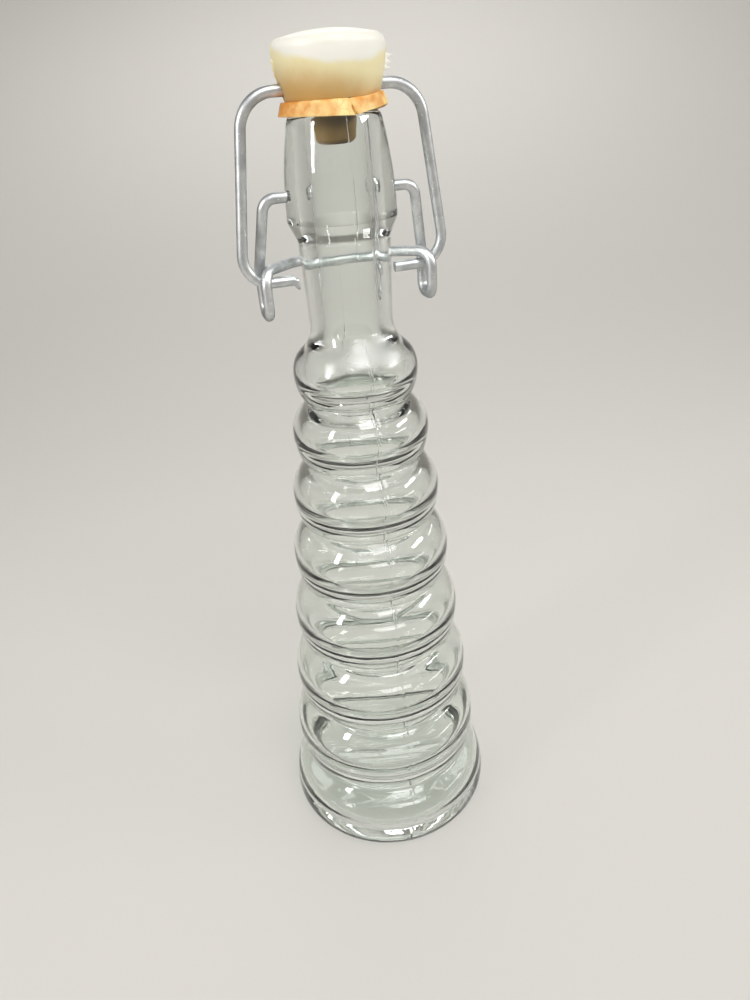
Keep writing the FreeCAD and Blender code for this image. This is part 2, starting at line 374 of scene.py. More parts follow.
def draw_chain(name, points):
    """An open chain of edges through profile points, in the half plane towards -Y."""
    bpy.ops.object.select_all(action="DESELECT")
    bpy.ops.mesh.primitive_plane_add(size=MM)
    piece = bpy.context.object
    piece.name = piece.data.name = name
    bpy.ops.object.mode_set(mode="EDIT")
    bpy.ops.mesh.merge(type="CENTER")
    bpy.ops.transform.translate(value=(0, -points[0].x * MM, points[0].y * MM))
    for start, end in zip(points, points[1:]):
        step = (0, (start.x - end.x) * MM, (end.y - start.y) * MM)
        bpy.ops.mesh.extrude_region_move(TRANSFORM_OT_translate={"value": step})
    bpy.ops.object.mode_set(mode="OBJECT")
    return piece


def spin_round(piece, runs):
    """Spins a chain about the upright axis in runs of degrees and steps, and closes the seam."""
    take(piece)
    bpy.ops.object.mode_set(mode="EDIT")
    bpy.ops.mesh.select_all(action="SELECT")
    for degrees, steps in runs:
        turn = math.radians(degrees)
        bpy.ops.mesh.spin(steps=steps, angle=turn, center=(0, 0, 0), axis=(0, 0, 1))
    bpy.ops.mesh.select_all(action="SELECT")
    bpy.ops.mesh.remove_doubles(threshold=DOUBLES_APART * MM)
    bpy.ops.mesh.normals_make_consistent(inside=False)
    bpy.ops.object.mode_set(mode="OBJECT")


def apply_modifier(piece, kind, **settings):
    """Adds a modifier with its settings and applies it."""
    take(piece)
    modifier = piece.modifiers.new(kind.lower(), kind)
    for name, value in settings.items():
        setattr(modifier, name, value)
    bpy.ops.object.modifier_apply(modifier=modifier.name)


def break_edges(piece, width, degrees):
    """Rounds off the edges that are sharper than an angle."""
    settings = {"limit_method": "ANGLE", "angle_limit": math.radians(degrees)}
    apply_modifier(piece, "BEVEL", width=width * MM, segments=2, **settings)


def push(piece, depth, weight, direction="NORMAL", lump_spacing=None):
    """Moves each vertex by a depth times the weight it gets, evenly or in and out in soft lumps."""
    group = piece.vertex_groups.new(name="pushed")
    for vertex in piece.data.vertices:
        share = weight(vertex)
        if share > 0:
            group.add([vertex.index], min(share, 1.0), "REPLACE")
    settings = {"strength": depth * MM, "mid_level": 0.0}
    settings.update(direction=direction, vertex_group=group.name)
    if lump_spacing:
        lumps = bpy.data.textures.new(f"{piece.name}_lumps", "CLOUDS")
        lumps.noise_scale = lump_spacing * MM
        lumps.noise_depth = 1
        settings.update(texture=lumps, texture_coords="LOCAL", mid_level=0.5)
    apply_modifier(piece, "DISPLACE", **settings)
    piece.vertex_groups.remove(piece.vertex_groups["pushed"])


def drill(piece, start, end, radius):
    """Cuts a round hole along X, at a height, from one place to another. The bit is turned by half
    a side, so that none of its corners meets a vertex of the piece."""
    bpy.ops.object.select_all(action="DESELECT")
    bpy.ops.mesh.primitive_cylinder_add(
        vertices=HOLE_SIDES,
        radius=radius * MM,
        depth=(end.x - start.x) * MM,
        location=((start.x + end.x) / 2 * MM, 0, start.y * MM),
        rotation=(math.pi / 2, math.pi / HOLE_SIDES, math.pi / 2),
    )
    bit = bpy.context.object
    apply_modifier(piece, "BOOLEAN", object=bit, operation="DIFFERENCE", solver="EXACT")
    bpy.data.objects.remove(bit)


def smooth(piece, degrees):
    """Shades a piece smooth but for edges sharper than an angle."""
    take(piece)
    bpy.ops.object.shade_smooth_by_angle(angle=math.radians(degrees))


def merged_copy(node, name):
    """A copy of a CAD node's mesh with its triangles joined."""
    piece = bpy.data.objects.new(name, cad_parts[node].data.copy())
    piece.data.name = name
    bpy.context.scene.collection.objects.link(piece)
    take(piece)
    bpy.ops.mesh.customdata_custom_splitnormals_clear()
    bpy.ops.object.mode_set(mode="EDIT")
    bpy.ops.mesh.select_all(action="SELECT")
    bpy.ops.mesh.remove_doubles(threshold=DOUBLES_APART * MM)
    bpy.ops.object.mode_set(mode="OBJECT")
    return piece


def stand_for(piece, node, body, material):
    """Dresses a piece, lets it ride its body and shows it in place of a CAD node."""
    piece.data.materials.clear()
    piece.data.materials.append(material)
    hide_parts(node)
    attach(piece, body)


def radius_of(vertex):
    """A vertex's distance from the upright axis."""
    return math.hypot(vertex.co.x, vertex.co.y) / MM


def height_of(vertex):
    return vertex.co.z / MM


def azimuth_of(vertex):
    """A vertex's direction from the upright axis: 0 is the right, at +X, and -90 the front."""
    return math.degrees(math.atan2(vertex.co.y, vertex.co.x))


def fade(value, start, end):
    """Falls smoothly from 1 at a start to 0 at an end."""
    share = min(max((value - start) / (end - start), 0.0), 1.0)
    return 1 - share * share * (3 - 2 * share)


# Materials

# Where the glass is scuffed: over which heights this grows and fades, and how far to the front
SCUFF_FOOT = (165, 170)
SCUFF_TOP = (179, 174)
SCUFF_FRONT = (-5, -12)

# Heights on the stopper over which its colour changes: where the painted near-white of its crown, a
# painted highlight, ends; where its front edge, painted whiter, turns to its top, painted greyer
# against the lamp's light; and where its foot is painted browner as painted shade. Also how far out
# its flash is torn
PAINTED_CROWN_LIGHT_EDGE = (245.6, 243.6)
CROWN_TOP_TONED_DOWN = (244, 246.5)
PAINTED_FOOT_SHADE = (240, 232.5)
COLOUR_UNEVENNESS = 2.2
TORN = (13.7, 14.1)


def srgb(code):
    """The linear colour of an sRGB hex code."""
    channels = [int(code[place : place + 2], 16) / 255 for place in (1, 3, 5)]
    return [c / 12.92 if c <= 0.04045 else ((c + 0.055) / 1.055) ** 2.4 for c in channels] + [1]


def scale_for(size):
    """The scale of a texture whose marks are a size in millimetres apart."""
    return 1 / (size * MM)


def add_node(tree, kind, inputs=(), **settings):
    """Adds a node with its own settings, and with values or links for its inputs."""
    made = tree.nodes.new(kind)
    for name, value in settings.items():
        setattr(made, name, value)
    for name, value in dict(inputs).items():
        if isinstance(value, bpy.types.NodeSocket):
            tree.links.new(value, made.inputs[name])
        else:
            made.inputs[name].default_value = value
    return made


def bare_material(name):
    """A material with an empty node tree."""
    material = bpy.data.materials.new(name)
    material.use_nodes = True
    material.node_tree.nodes.clear()
    return material, material.node_tree


def soda_lime_glass():
    """Clear container glass from a mould: faintly green where it is thick, with a soft orange-peel
    skin, patches of dried water marks that blur it a little, and scuffs on the top ring's front,
    where the open closure knocks."""
    material, tree = bare_material("soda_lime_glass")
    place = add_node(tree, "ShaderNodeTexCoord").outputs["Object"]
    skin = add_node(
        tree,
        "ShaderNodeTexNoise",
        {"Vector": place, "Scale": scale_for(5), "Detail": 2},
    )
    bump = add_node(
        tree,
        "ShaderNodeBump",
        {"Height": skin.outputs["Fac"], "Strength": 0.35, "Distance": 0.12 * MM},
    )
    patches = add_node(
        tree,
        "ShaderNodeTexNoise",
        {"Vector": place, "Scale": scale_for(14), "Detail": 3},
    )
    marks = add_node(
        tree,
        "ShaderNodeTexNoise",
        {"Vector": place, "Scale": scale_for(0.9), "Detail": 3},
    )
    marked = add_node(
        tree,
        "ShaderNodeMath",
        {0: patches.outputs["Fac"], 1: marks.outputs["Fac"]},
        operation="MULTIPLY",
    )
    haze = add_node(
        tree,
        "ShaderNodeMapRange",
        {
            "Value": marked.outputs["Value"],
            "From Min": 0.3,
            "From Max": 0.46,
            "To Min": 0.0,
            "To Max": 0.22,
        },
    )
    places = add_node(tree, "ShaderNodeSeparateXYZ", {"Vector": place}).outputs
    above = add_node(
        tree,
        "ShaderNodeMapRange",
        {"Value": places["Z"], "From Min": SCUFF_FOOT[0] * MM, "From Max": SCUFF_FOOT[1] * MM},
        interpolation_type="SMOOTHSTEP",
    )
    below = add_node(
        tree,
        "ShaderNodeMapRange",
        {"Value": places["Z"], "From Min": SCUFF_TOP[0] * MM, "From Max": SCUFF_TOP[1] * MM},
        interpolation_type="SMOOTHSTEP",
    )
    front = add_node(
        tree,
        "ShaderNodeMapRange",
        {"Value": places["Y"], "From Min": SCUFF_FRONT[0] * MM, "From Max": SCUFF_FRONT[1] * MM},
        interpolation_type="SMOOTHSTEP",
    )
    collar = add_node(
        tree,
        "ShaderNodeMath",
        {0: above.outputs["Result"], 1: below.outputs["Result"]},
        operation="MULTIPLY",
    )
    knocked = add_node(
        tree,
        "ShaderNodeMath",
        {0: collar.outputs["Value"], 1: front.outputs["Result"]},
        operation="MULTIPLY",
    )
    rubs = add_node(
        tree,
        "ShaderNodeMapRange",
        {
            "Value": patches.outputs["Fac"],
            "From Min": 0.3,
            "From Max": 0.6,
            "To Min": 0.1,
            "To Max": 0.4,
        },
    )
    scuffed = add_node(
        tree,
        "ShaderNodeMath",
        {0: knocked.outputs["Value"], 1: rubs.outputs["Result"]},
        operation="MULTIPLY",
    )
    blurred = add_node(
        tree,
        "ShaderNodeMath",
        {0: scuffed.outputs["Value"], 1: haze.outputs["Result"]},
        operation="MAXIMUM",
    )
    glass = add_node(
        tree,
        "ShaderNodeBsdfPrincipled",
        {
            "Base Color": srgb("#FBFDFB"),
            "Roughness": blurred.outputs["Value"],
            "IOR": 1.52,
            "Transmission Weight": 1.0,
            "Normal": bump.outputs["Normal"],
        },
    )
    through = add_node(tree, "ShaderNodeBsdfTransparent", {"Color": srgb("#F9FAF9")})
    rays = add_node(tree, "ShaderNodeLightPath")
    surface = add_node(
        tree,
        "ShaderNodeMixShader",
        {0: rays.outputs["Is Shadow Ray"], 1: glass.outputs["BSDF"], 2: through.outputs["BSDF"]},
    )
    depth = add_node(tree, "ShaderNodeVolumeAbsorption", {"Color": srgb("#BCD6C4"), "Density": 5.5})
    add_node(
        tree,
        "ShaderNodeOutputMaterial",
        {"Surface": surface.outputs["Shader"], "Volume": depth.outputs["Volume"]},
    )
    return material


def zinc_plated_wire():
    """Drawn steel wire with dull zinc: a grey satin sheen that darkens at the wire's edges, cloudy
    patches, small dents from handling, and bright specks painted into its colour as painted glints."""
    material, tree = bare_material("zinc_plated_wire")
    place = add_node(tree, "ShaderNodeTexCoord").outputs["Object"]
    clouds = add_node(
        tree,
        "ShaderNodeTexNoise",
        {"Vector": place, "Scale": scale_for(4), "Detail": 5},
    )
    grey = add_node(
        tree,
        "ShaderNodeMapRange",
        {"Value": clouds.outputs["Fac"], "From Min": 0.35, "From Max": 0.65},
    )
    colour = add_node(
        tree,
        "ShaderNodeMix",
        {0: grey.outputs["Result"], 6: srgb("#C0C3C5"), 7: srgb("#E4E5E6")},
        data_type="RGBA",
    )
    # Fine noise for the painted glints, bright specks in the zinc's colour, and for the dents of its
    # bump.
    painted_glints_and_dents = add_node(
        tree,
        "ShaderNodeTexNoise",
        {"Vector": place, "Scale": scale_for(0.7), "Detail": 2},
    )
    # Painted glints: bright specks painted paler than the zinc.
    specks = add_node(
        tree,
        "ShaderNodeMapRange",
        {"Value": painted_glints_and_dents.outputs["Fac"], "From Min": 0.665, "From Max": 0.7},
    )
    speckled = add_node(
        tree,
        "ShaderNodeMix",
        {0: specks.outputs["Result"], 6: colour.outputs[2], 7: srgb("#F5F5F3")},
        data_type="RGBA",
    )
    dull = add_node(
        tree,
        "ShaderNodeMapRange",
        {
            "Value": clouds.outputs["Fac"],
            "From Min": 0.3,
            "From Max": 0.7,
            "To Min": 0.52,
            "To Max": 0.4,
        },
    )
    bump = add_node(
        tree,
        "ShaderNodeBump",
        {"Height": painted_glints_and_dents.outputs["Fac"], "Strength": 0.3, "Distance": 0.06 * MM},
    )
    metal = add_node(
        tree,
        "ShaderNodeBsdfPrincipled",
        {
            "Base Color": speckled.outputs[2],
            "Metallic": 1.0,
            "Roughness": dull.outputs["Result"],
            "Specular Tint": srgb("#6A6D70"),
            "Normal": bump.outputs["Normal"],
        },
    )
    add_node(tree, "ShaderNodeOutputMaterial", {"Surface": metal.outputs["BSDF"]})
    return material


def cream_polypropylene():
    """Moulded polypropylene that has aged to cream on its sides: waxy and a little see-through. Its
    crown is painted near-white as a painted highlight that reaches furthest down its front, with the
    front edge painted whiter and the top a little greyer against the lamp's light. Towards its foot,
    and on the plug, it is painted browner as painted shade with the rubber ring's orange reflection,
    reaching higher on the left. It is white where its flash is torn, with smears and scuffs that
    change its gloss."""
    material, tree = bare_material("cream_polypropylene")
    place = add_node(tree, "ShaderNodeTexCoord").outputs["Object"]
    places = add_node(tree, "ShaderNodeSeparateXYZ", {"Vector": place}).outputs
    smears = add_node(
        tree,
        "ShaderNodeTexNoise",
        {"Vector": place, "Scale": scale_for(9), "Detail": 3},
    )
    uneven = add_node(
        tree,
        "ShaderNodeMapRange",
        {
            "Value": smears.outputs["Fac"],
            "To Min": -COLOUR_UNEVENNESS * MM,
            "To Max": COLOUR_UNEVENNESS * MM,
        },
    )
    level = add_node(
        tree,
        "ShaderNodeMath",
        {0: places["Z"], 1: uneven.outputs["Result"]},
        operation="ADD",
    )
    # Painted shade: the level counts higher on the right, so that the painted brown of the foot
    # reaches higher on the left.
    left_shaded_level = add_node(
        tree,
        "ShaderNodeMath",
        {0: places["X"], 1: 0.2, 2: level.outputs["Value"]},
        operation="MULTIPLY_ADD",
    )
    # Painted highlight: the level counts higher towards the front, so that the painted near-white
    # crown reaches further down the front.
    painted_front_light_level = add_node(
        tree,
        "ShaderNodeMath",
        {0: places["Y"], 1: -0.3, 2: level.outputs["Value"]},
        operation="MULTIPLY_ADD",
    )
    # Here the painted near-white crown, a painted highlight, gives way to the plastic's cream.
    below_painted_crown_light = add_node(
        tree,
        "ShaderNodeMapRange",
        {
            "Value": painted_front_light_level.outputs["Value"],
            "From Min": PAINTED_CROWN_LIGHT_EDGE[0] * MM,
            "From Max": PAINTED_CROWN_LIGHT_EDGE[1] * MM,
        },
        interpolation_type="SMOOTHSTEP",
    )
    # The crown's front edge is painted whiter, a painted highlight, and its top a little greyer
    # against the overhead lamp's light.
    crown_top_toned_down = add_node(
        tree,
        "ShaderNodeMapRange",
        {"Value": level.outputs["Value"], "From Min": CROWN_TOP_TONED_DOWN[0] * MM, "From Max": CROWN_TOP_TONED_DOWN[1] * MM},
        interpolation_type="SMOOTHSTEP",
    )
    crown = add_node(
        tree,
        "ShaderNodeMix",
        {0: crown_top_toned_down.outputs["Result"], 6: srgb("#F3F1E8"), 7: srgb("#E9E7DB")},
        data_type="RGBA",
    )
    upper = add_node(
        tree,
        "ShaderNodeMix",
        {0: below_painted_crown_light.outputs["Result"], 6: crown.outputs[2], 7: srgb("#F0E5B8")},
        data_type="RGBA",
    )
    # Painted shade towards the foot and on the plug under the rubber ring, with the ring's orange
    # reflection painted in as brown.
    painted_foot_shade = add_node(
        tree,
        "ShaderNodeMapRange",
        {
            "Value": left_shaded_level.outputs["Value"],
            "From Min": PAINTED_FOOT_SHADE[0] * MM,
            "From Max": PAINTED_FOOT_SHADE[1] * MM,
        },
        interpolation_type="SMOOTHSTEP",
    )
    colour = add_node(
        tree,
        "ShaderNodeMix",
        {0: painted_foot_shade.outputs["Result"], 6: upper.outputs[2], 7: srgb("#CDA564")},
        data_type="RGBA",
    )
    torn = add_node(
        tree,
        "ShaderNodeMapRange",
        {"Value": places["X"], "From Min": TORN[0] * MM, "From Max": TORN[1] * MM},
    )
    whitened = add_node(
        tree,
        "ShaderNodeMix",
        {0: torn.outputs["Result"], 6: colour.outputs[2], 7: srgb("#FCFAF4")},
        data_type="RGBA",
    )
    gloss = add_node(
        tree,
        "ShaderNodeMapRange",
        {
            "Value": smears.outputs["Fac"],
            "From Min": 0.3,
            "From Max": 0.7,
            "To Min": 0.28,
            "To Max": 0.48,
        },
    )
    scuffs = add_node(
        tree,
        "ShaderNodeTexNoise",
        {"Vector": place, "Scale": scale_for(0.8), "Detail": 3},
    )
    bump = add_node(
        tree,
        "ShaderNodeBump",
        {"Height": scuffs.outputs["Fac"], "Strength": 0.2, "Distance": 0.05 * MM},
    )
    plastic = add_node(
        tree,
        "ShaderNodeBsdfPrincipled",
        {
            "Base Color": whitened.outputs[2],
            "Roughness": gloss.outputs["Result"],
            "IOR": 1.49,
            "Subsurface Weight": 0.25,
            "Subsurface Radius": (1.0, 0.8, 0.5),
            "Subsurface Scale": 2.5 * MM,
            "Normal": bump.outputs["Normal"],
        },
    )
    add_node(tree, "ShaderNodeOutputMaterial", {"Surface": plastic.outputs["BSDF"]})
    return material


def orange_rubber():
    """Old natural rubber: matt, tan to orange in patches, a dry pale bloom, and a skin that has
    begun to crack."""
    material, tree = bare_material("orange_rubber")
    place = add_node(tree, "ShaderNodeTexCoord").outputs["Object"]
    patches = add_node(
        tree,
        "ShaderNodeTexNoise",
        {"Vector": place, "Scale": scale_for(5), "Detail": 5},
    )
    bloom = add_node(
        tree,
        "ShaderNodeMapRange",
        {"Value": patches.outputs["Fac"], "From Min": 0.38, "From Max": 0.64},
    )
    colour = add_node(
        tree,
        "ShaderNodeMix",
        {0: bloom.outputs["Result"], 6: srgb("#D8903E"), 7: srgb("#F6DA94")},
        data_type="RGBA",
    )
    cells = add_node(
        tree,
        "ShaderNodeTexVoronoi",
        {"Vector": place, "Scale": scale_for(1.8)},
        feature="DISTANCE_TO_EDGE",
    )
    lines = add_node(
        tree,
        "ShaderNodeMapRange",
        {
            "Value": cells.outputs["Distance"],
            "From Min": 0.0,
            "From Max": 0.05,
            "To Min": 1.0,
            "To Max": 0.0,
        },
    )
    dry = add_node(
        tree,
        "ShaderNodeMapRange",
        {
            "Value": patches.outputs["Fac"],
            "From Min": 0.5,
            "From Max": 0.7,
            "To Min": 0.0,
            "To Max": 0.7,
        },
    )
    cracks = add_node(
        tree,
        "ShaderNodeMath",
        {0: lines.outputs["Result"], 1: dry.outputs["Result"]},
        operation="MULTIPLY",
    )
    cracked = add_node(
        tree,
        "ShaderNodeMix",
        {0: cracks.outputs["Value"], 6: colour.outputs[2], 7: srgb("#9A5F26")},
        data_type="RGBA",
    )
    grain = add_node(
        tree,
        "ShaderNodeTexNoise",
        {"Vector": place, "Scale": scale_for(0.5), "Detail": 3},
    )
    skin = add_node(
        tree,
        "ShaderNodeMath",
        {0: grain.outputs["Fac"], 1: cracks.outputs["Value"]},
        operation="SUBTRACT",
    )
    bump = add_node(
        tree,
        "ShaderNodeBump",
        {"Height": skin.outputs["Value"], "Strength": 0.4, "Distance": 0.1 * MM},
    )
    rubber = add_node(
        tree,
        "ShaderNodeBsdfPrincipled",
        {
            "Base Color": cracked.outputs[2],
            "Roughness": 0.62,
            "IOR": 1.52,
            "Subsurface Weight": 0.12,
            "Subsurface Radius": (1.0, 0.5, 0.2),
            "Subsurface Scale": 1.5 * MM,
            "Normal": bump.outputs["Normal"],
        },
    )
    add_node(tree, "ShaderNodeOutputMaterial", {"Surface": rubber.outputs["BSDF"]})
    return material


# Glass: a chain spun about the axis, with short steps beside the two mould seams at -Y and +Y


def glass_piece():
    outside, inside = glass_chains()
    piece = draw_chain("ringed_glass", outside + inside)
    hollow = piece.vertex_groups.new(name="hollow")
    hollow.add(list(range(len(outside), len(outside + inside))), 1.0, "REPLACE")
    half = (180 - 2 * SEAM_TURN, GLASS_HALF_STEPS)
    seam_run = (2 * SEAM_TURN, GLASS_SEAM_STEPS)
    half_seam_run = (SEAM_TURN, GLASS_SEAM_STEPS // 2)
    spin_round(piece, [half_seam_run, half, seam_run, half, half_seam_run])
    break_edges(piece, GLASS_EDGE_WIDTH, degrees=30)
    grooves = ring_tops()

    def in_hollow(vertex):
        return any(held.group == hollow.index for held in vertex.groups)

    def in_bore(vertex):
        return in_hollow(vertex) and radius_of(vertex) <= BORE_LUMP_RADIUS

    def on_seam(vertex):
        if in_hollow(vertex) or radius_of(vertex) <= SEAM_START_RADIUS:
            return False
        return abs(vertex.co.x) < SEAM_HALF_WIDTH * MM

    def seam(vertex):
        return float(on_seam(vertex) and height_of(vertex) > SEAM_FOOT)

    def seam_nub(vertex):
        nearest = min(abs(height_of(vertex) - groove) for groove in grooves)
        return fade(nearest, NUB_FLAT, NUB_REACH) if on_seam(vertex) else 0.0

    def wall_lumps(vertex):
        on_wall = in_hollow(vertex) and not in_bore(vertex)
        return (1 - fade(height_of(vertex), *WALL_LUMP_RISE)) if on_wall else 0.0

    def bore_lumps(vertex):
        return float(in_bore(vertex) and BORE_LUMP_FOOT < height_of(vertex) < BORE_LUMP_TOP)

    def floor_lumps(vertex):
        return fade(height_of(vertex), *FLOOR_LUMP_FALL) if in_hollow(vertex) else 0.0

    def outer_lumps(vertex):
        return float(not in_hollow(vertex) and OUTER_LUMP_FOOT < height_of(vertex) < OUTER_LUMP_TOP)

    push(piece, SEAM_HEIGHT, seam)
    push(piece, NUB_HEIGHT, seam_nub)
    push(piece, WALL_LUMPS, wall_lumps, lump_spacing=WALL_LUMP_SPACING)
    push(piece, BORE_LUMPS, bore_lumps, lump_spacing=BORE_LUMP_SPACING)
    push(piece, FLOOR_LUMPS, floor_lumps, lump_spacing=FLOOR_LUMP_SPACING)
    push(piece, OUTER_LUMPS, outer_lumps, lump_spacing=OUTER_LUMP_SPACING)
    for side in (1, -1):
        ends = sorted([side * DIMPLE_END, side * (RIM_RADIUS + DRILL_OVERRUN)])
        drill(piece, at(ends[0], PIVOT_HEIGHT), at(ends[1], PIVOT_HEIGHT), DIMPLE_RADIUS)
    smooth(piece, degrees=35)
    return piece


# Wires: the drawn wire with the edges of its cut ends broken


def wire_piece(node, name):
    piece = merged_copy(node, name)
    break_edges(piece, WIRE_EDGE_WIDTH, degrees=60)
    return piece


def bail_piece():
    """The bail, whose left stub was cut badly: its end is sheared above and hooked below."""
    piece = wire_piece("bail_wire", "bail_of_wire")
    bpy.ops.object.mode_set(mode="EDIT")
    for setback in HOOK_SETBACKS:
        bpy.ops.mesh.select_all(action="SELECT")
        bpy.ops.mesh.bisect(plane_co=(-(STUB_END + setback) * MM, 0, 0), plane_no=(1, 0, 0))
    bpy.ops.object.mode_set(mode="OBJECT")

    def left_end(vertex):
        on_stub = abs(height_of(vertex) - STUB_HEIGHT) < WIRE_RADIUS + STUB_MARGIN
        from_end = abs(vertex.co.x / MM + STUB_END)
        return fade(from_end, HOOK_FLAT, HOOK_SETBACKS[-1]) if on_stub else 0.0

    def burr(vertex):
        below = STUB_HEIGHT - BURR_TOP - height_of(vertex)
        return left_end(vertex) * max(below / (WIRE_RADIUS - BURR_TOP), 0.0)

    def sheared(vertex):
        above = height_of(vertex) - STUB_HEIGHT + SHEAR_FOOT
        return left_end(vertex) * max(above / (WIRE_RADIUS + SHEAR_FOOT), 0.0)

    push(piece, -SHEAR_DROP, sheared, direction="Z")
    push(piece, -SHEAR_SETBACK, sheared, direction="X")
    push(piece, HOOK_REACH, burr, direction="X")
    push(piece, -HOOK_DROP, burr, direction="Z")
    smooth(piece, degrees=35)
    return piece


def lever_piece():
    piece = wire_piece("lever_wire", "lever_of_wire")
    smooth(piece, degrees=35)
    return piece


# Stopper: a chain spun about the axis, with short steps at the parting line that runs along X


def stopper_piece():
    crown = at(0, CROWN_HEIGHT)
    rim = at(STOPPER_RIM_RADIUS, STOPPER_RIM_HEIGHT)
    edge_centre = rim - at(STOPPER_EDGE_ROUNDING, 0)
    edge_end = edge_centre + at(0, STOPPER_EDGE_ROUNDING)
    base = at(STOPPER_BASE_RADIUS, STOPPER_BASE_HEIGHT)
    stem_top = at(STEM_RADIUS, STOPPER_BASE_HEIGHT)
    stem_foot = at(STEM_RADIUS, BEAD_TOP_HEIGHT)
    bead_top = at(BEAD_RADIUS, BEAD_TOP_HEIGHT)
    bead_foot = at(BEAD_RADIUS, BEAD_FOOT_HEIGHT)
    tip_side = at(PLUG_TIP_RADIUS, PLUG_TIP_HEIGHT + PLUG_ROUNDING)
    tip_centre = tip_side - at(PLUG_ROUNDING, 0)
    tip_end = tip_centre - at(0, PLUG_ROUNDING)
    side_steps = math.ceil((rim - base).length / STOPPER_STEP)
    shares = [step / side_steps for step in range(1, side_steps + 1)]
    chain = [crown] + along_arc(level_arc_centre(crown, edge_end), crown, edge_end, STOPPER_STEP)
    chain += along_arc(edge_centre, edge_end, rim, STOPPER_STEP)
    for share in shares:
        bulge = 4 * STOPPER_SIDE_BULGE * share * (1 - share)
        chain.append(rim.lerp(base, share) + at(bulge, 0))
    corners = [base, stem_top, stem_foot, bead_top, bead_foot, tip_side]
    for start, end in zip(corners, corners[1:]):
        chain += along_line(start, end)
    chain += along_arc(tip_centre, tip_side, tip_end, STOPPER_STEP)
    chain += along_line(tip_end, at(0, PLUG_TIP_HEIGHT))
    piece = draw_chain("moulded_stopper", chain)
    half = (180 - 2 * SEAM_TURN, STOPPER_HALF_STEPS)
    quarter = (90 - SEAM_TURN, STOPPER_HALF_STEPS // 2)
    seam_run = (2 * SEAM_TURN, STOPPER_SEAM_STEPS)
    spin_round(piece, [quarter, seam_run, half, seam_run, quarter])

    def parting(vertex):
        on_side = height_of(vertex) > STOPPER_BASE_HEIGHT + PARTING_FOOT
        return float(on_side and abs(vertex.co.y) < PARTING_HALF_WIDTH * MM)

    def flash(vertex):
        """A torn fin of plastic in three teeth above the cross hole."""
        height = height_of(vertex)
        wave = math.sin(math.tau * (height - FIRST_TOOTH_START) / TOOTH_SPACING)
        torn = 1 - TOOTH_WAVE + TOOTH_WAVE * wave
        reach = fade(abs(height - FLASH_HEIGHT), FLASH_FLAT, FLASH_REACH)
        return reach * torn * fade(abs(vertex.co.y) / MM, PARTING_HALF_WIDTH, FLASH_WIDTH)

    def right_flash(vertex):
        return flash(vertex) if vertex.co.x > 0 and radius_of(vertex) > FLASH_INNER_RADIUS else 0.0

    def left_flash(vertex):
        return flash(vertex) if vertex.co.x < 0 and radius_of(vertex) > FLASH_INNER_RADIUS else 0.0

    push(piece, PARTING_RIDGE, parting)
    push(piece, RIGHT_FLASH, right_flash, direction="X")
    push(piece, -LEFT_FLASH, left_flash, direction="X")
    reach = STOPPER_RIM_RADIUS + DRILL_OVERRUN
    drill(piece, at(-reach, CROSS_HEIGHT), at(reach, CROSS_HEIGHT), CROSS_HOLE_RADIUS)
    smooth(piece, degrees=40)
    return piece


# Rubber ring: a closed chain spun about the axis, cracked at the front and lifted on its right


